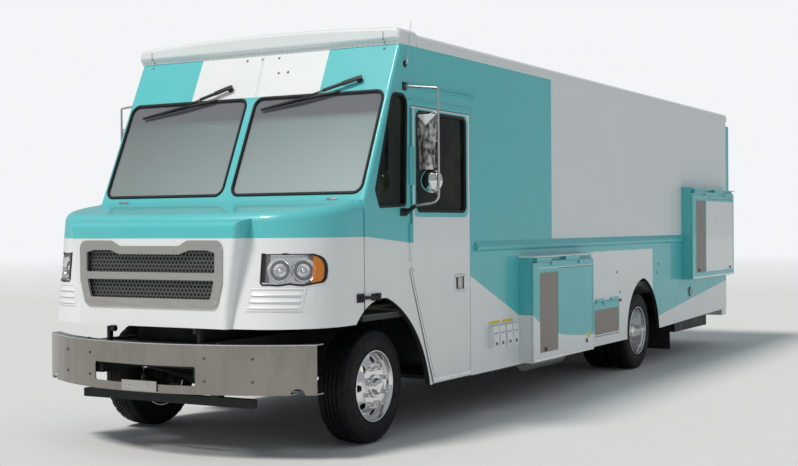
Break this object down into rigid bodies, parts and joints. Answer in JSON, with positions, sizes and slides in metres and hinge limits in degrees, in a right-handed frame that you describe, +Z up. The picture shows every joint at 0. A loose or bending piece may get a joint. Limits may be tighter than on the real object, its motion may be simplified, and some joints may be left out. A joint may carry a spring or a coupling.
{
  "type": "food truck",
  "caption": "Step-van food truck: sloped two-pane screen, tilting hood, hollow cab and kitchen, side service boxes, serving hatch, steered front wheels and twin rear wheels.",
  "frame": {"origin": "on the ground under the middle of the overall box", "axes": "+Y to the rear, so the front faces -Y; +X to the vehicle's left; +Z up"},
  "size_m": [3.024, 10.306, 3.0797],
  "materials": {
    "body_paint": "white and turquoise gloss paint",
    "teal_paint": "turquoise gloss paint",
    "chassis_black": "satin black chassis paint",
    "bright_steel": "brushed stainless",
    "polished_steel": "polished stainless and chrome",
    "cast": "rough cast",
    "rubber": "matte rubber",
    "tyre": "road tyre rubber",
    "black_trim": "matte black",
    "glass": "tinted glass",
    "lamp_glass": "clear lamp lens",
    "red_lens": "red lens",
    "aluminium_plate": "plain aluminium",
    "seat_vinyl": "dark vinyl",
    "rim_alloy": "polished forged wheel",
    "white_paint": "white gloss paint"
  },
  "bodies": {
    "body": {"chassis_frame": "chassis_black", "front_axle": "cast", "rear_axle": "cast", "leaf_springs": "cast", "engine_block": "cast", "driveshaft": "bright_steel", "underbody_tanks": "chassis_black", "exhaust": "bright_steel", "front_bumper": "polished_steel", "plate_bracket": "aluminium_plate", "windscreen_panel": "body_paint", "fixed_glass": "glass", "left_side_wall": "body_paint", "right_side_wall": "body_paint", "roof_shell": "white_paint", "front_cap": "white_paint", "rear_wall": "body_paint", "floor_deck": "bright_steel", "service_boxes": "teal_paint", "serving_counter": "bright_steel", "rear_cabinet": "teal_paint", "rear_bumper": "white_paint", "mirrors": "polished_steel", "wipers": "black_trim", "antenna": "black_trim", "belt_rails": "teal_paint", "mud_flaps": "rubber", "rear_lamps": "red_lens", "power_inlets": "white_paint", "filler_and_markers": "red_lens", "dashboard": "black_trim", "steering_wheel": "black_trim", "driver_seat": "seat_vinyl"},
    "hood": {"hood_shell": "body_paint", "grille_frame": "bright_steel", "grille_mesh": "black_trim", "headlamps": "lamp_glass", "headlamp_trays": "black_trim", "hood_latches": "rubber"},
    "cab_door_left": {"cab_door_left": "white_paint", "cab_door_glass_left": "glass"},
    "knuckle_left": {"knuckle_left": "cast"},
    "front_wheel_left": {"front_tyre_left": "tyre", "front_wheel_left": "rim_alloy"},
    "rear_wheels_left": {"rear_tyres_left": "tyre", "rear_wheels_left": "rim_alloy"},
    "cab_door_right": {"cab_door_right": "white_paint", "cab_door_glass_right": "glass"},
    "knuckle_right": {"knuckle_right": "cast"},
    "front_wheel_right": {"front_tyre_right": "tyre", "front_wheel_right": "rim_alloy"},
    "rear_wheels_right": {"rear_tyres_right": "tyre", "rear_wheels_right": "rim_alloy"},
    "service_door_front": {"service_door_front": "teal_paint"},
    "service_door_rear": {"service_door_rear": "teal_paint"},
    "louvre_door": {"louvre_door": "teal_paint"},
    "serving_hatch": {"serving_hatch": "white_paint"},
    "rear_door": {"rear_door": "white_paint", "rear_door_glass": "glass"}
  },
  "joints": [
    {"name": "hood_tilt", "type": "hinge", "parent": "body", "child": "hood", "pos_m": [0, -4.989, 0.862], "axis": [1, 0, 0], "range_deg": [0, 60]},
    {"name": "cab_door_left_hinge", "type": "hinge", "parent": "body", "child": "cab_door_left", "pos_m": [1.229, -3.532, 1.4], "axis": [0, 0, -1], "range_deg": [0, 72]},
    {"name": "cab_door_right_hinge", "type": "hinge", "parent": "body", "child": "cab_door_right", "pos_m": [-1.229, -3.532, 1.4], "axis": [0, 0, 1], "range_deg": [0, 72]},
    {"name": "steer_left", "type": "hinge", "parent": "body", "child": "knuckle_left", "pos_m": [0.78, -3.877, 0.4144], "axis": [0, 0, 1], "range_deg": [-35, 35]},
    {"name": "steer_right", "type": "hinge", "parent": "body", "child": "knuckle_right", "pos_m": [-0.78, -3.877, 0.4144], "axis": [0, 0, 1], "range_deg": [-35, 35]},
    {"name": "spin_front_left", "type": "hinge", "parent": "knuckle_left", "child": "front_wheel_left", "pos_m": [0.982, -3.877, 0.4144], "axis": [1, 0, 0], "continuous": true},
    {"name": "spin_front_right", "type": "hinge", "parent": "knuckle_right", "child": "front_wheel_right", "pos_m": [-0.982, -3.877, 0.4144], "axis": [1, 0, 0], "continuous": true},
    {"name": "spin_rear_left", "type": "hinge", "parent": "body", "child": "rear_wheels_left", "pos_m": [0.9, 1.603, 0.4144], "axis": [1, 0, 0], "continuous": true},
    {"name": "spin_rear_right", "type": "hinge", "parent": "body", "child": "rear_wheels_right", "pos_m": [-0.9, 1.603, 0.4144], "axis": [1, 0, 0], "continuous": true},
    {"name": "service_door_front_hinge", "type": "hinge", "parent": "body", "child": "service_door_front", "pos_m": [1.363, -0.902, 1.247], "axis": [0, -1, 0], "range_deg": [0, 95]},
    {"name": "service_door_rear_hinge", "type": "hinge", "parent": "body", "child": "service_door_rear", "pos_m": [1.363, 3.908, 1.947], "axis": [0, -1, 0], "range_deg": [0, 95]},
    {"name": "louvre_door_hinge", "type": "hinge", "parent": "body", "child": "louvre_door", "pos_m": [1.229, 0.52, 0.797], "axis": [0, -1, 0], "range_deg": [0, 95]},
    {"name": "serving_hatch_hinge", "type": "hinge", "parent": "body", "child": "serving_hatch", "pos_m": [-1.229, -0.027, 2.327], "axis": [0, 1, 0], "range_deg": [0, 95]},
    {"name": "rear_door_hinge", "type": "hinge", "parent": "body", "child": "rear_door", "pos_m": [-0.453, 4.933, 1.7], "axis": [0, 0, 1], "range_deg": [0, 100]}
  ],
  "couplings": [
    {"joint": "steer_right", "follows": "steer_left", "ratio": 1}
  ]
}
